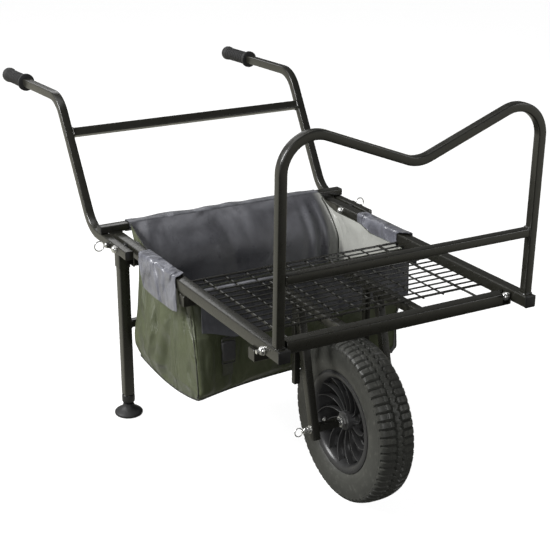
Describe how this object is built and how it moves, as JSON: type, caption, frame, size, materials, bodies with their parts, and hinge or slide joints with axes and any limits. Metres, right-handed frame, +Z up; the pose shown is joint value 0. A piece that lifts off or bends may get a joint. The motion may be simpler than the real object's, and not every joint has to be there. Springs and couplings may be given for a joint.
{
  "type": "fishing trolley",
  "caption": "Flat-deck fishing trolley on a pneumatic wheel and rear legs, with raked push handles, a bent front rest bar and a hanging cloth bag.",
  "frame": {"origin": "on the ground, under the middle of the box that holds the whole trolley", "axes": "+X to the right seen from behind the front rest looking at the handles, +Y from the front rest to the handles, +Z up"},
  "size_m": [0.7306, 1.433, 0.8892],
  "materials": {
    "black_paint": "gloss black powder coat on square steel tube",
    "black_plastic": "moulded black plastic",
    "soft_rubber": "matt black rubber",
    "tyre_rubber": "black tyre rubber with block tread",
    "zinc": "bright zinc-plated steel",
    "olive_cloth": "coated olive green cloth",
    "grey_cloth": "silvery coated inner face of the cloth",
    "webbing": "black webbing with a plastic buckle"
  },
  "bodies": {
    "frame": {"side_rail_left": "black_paint", "side_rail_right": "black_paint", "rail_cap_left": "black_plastic", "rail_cap_right": "black_plastic", "front_rest_bar": "black_paint", "front_rest_cross": "black_paint", "wire_deck": "black_paint", "mid_cross_tube": "black_paint", "rear_bar": "black_paint", "rear_bar_cap_left": "black_plastic", "rear_bar_cap_right": "black_plastic", "rear_lower_tube": "black_paint", "leg_sleeve_left": "black_paint", "leg_sleeve_right": "black_paint", "leg_clamp_left": "zinc", "leg_clamp_right": "zinc", "handle_spacer_left": "black_plastic", "handle_spacer_right": "black_plastic", "fork_bolt_left": "zinc", "fork_bolt_right": "zinc", "handle_bolt_left": "zinc", "handle_bolt_right": "zinc", "bag_body": "olive_cloth", "side_collar_left": "grey_cloth", "side_collar_right": "grey_cloth", "rear_collar": "grey_cloth", "front_collar": "grey_cloth", "bag_strap": "webbing"},
    "fork": {"fork_crossbar": "black_paint", "fork_cross_tube": "black_paint", "fork_bearer_left": "black_paint", "fork_bearer_right": "black_paint", "fork_arm_left": "black_paint", "fork_arm_right": "black_paint", "fork_strut_left": "black_paint", "fork_strut_right": "black_paint", "axle": "zinc", "hub_spacer_left": "black_paint", "hub_spacer_right": "black_paint"},
    "axle_pin": {"axle_pin": "zinc"},
    "wheel": {"tyre": "tyre_rubber", "rim": "black_plastic", "hub_bush": "zinc", "valve_stem": "soft_rubber"},
    "handles": {"handle_tube_left": "black_paint", "handle_tube_right": "black_paint", "handle_cross": "black_paint", "grip_left": "soft_rubber", "grip_right": "soft_rubber"},
    "legs": {"leg_left": "black_paint", "leg_right": "black_paint", "leg_tie": "black_paint", "leg_collar_left": "black_plastic", "leg_collar_right": "black_plastic"},
    "foot_left": {"foot_left": "soft_rubber"},
    "foot_right": {"foot_right": "soft_rubber"},
    "lock_pin_left": {"lock_pin_left": "zinc"},
    "lock_pin_right": {"lock_pin_right": "zinc"}
  },
  "joints": [
    {"name": "fork_fold", "type": "hinge", "parent": "frame", "child": "fork", "pos_m": [0, -0.65594, 0.46479], "axis": [-1, 0, 0], "range_deg": [0, 90]},
    {"name": "wheel_spin", "type": "hinge", "parent": "fork", "child": "wheel", "pos_m": [0, -0.51629, 0.1803], "axis": [1, 0, 0], "continuous": true},
    {"name": "axle_pin_pull", "type": "slide", "parent": "fork", "child": "axle_pin", "axis": [-1, 0, 0], "range_m": [0, 0.03]},
    {"name": "handles_fold", "type": "hinge", "parent": "frame", "child": "handles", "pos_m": [0, -0.00704, 0.45096], "axis": [-1, 0, 0], "range_deg": [0, 48]},
    {"name": "legs_pull_out", "type": "slide", "parent": "frame", "child": "legs", "axis": [0, -0.0332, -0.9995], "range_m": [0, 0.05]},
    {"name": "foot_tilt_left", "type": "hinge", "parent": "legs", "child": "foot_left", "pos_m": [-0.2875, 0.03986, 0.04], "axis": [1, 0, 0], "range_deg": [-12, 12]},
    {"name": "foot_tilt_right", "type": "hinge", "parent": "legs", "child": "foot_right", "pos_m": [0.2875, 0.03986, 0.04], "axis": [1, 0, 0], "range_deg": [-12, 12]},
    {"name": "lock_pin_left_pull", "type": "slide", "parent": "handles", "child": "lock_pin_left", "axis": [-1, 0, 0], "range_m": [0, 0.012]},
    {"name": "lock_pin_right_pull", "type": "slide", "parent": "handles", "child": "lock_pin_right", "axis": [1, 0, 0], "range_m": [0, 0.012]}
  ]
}
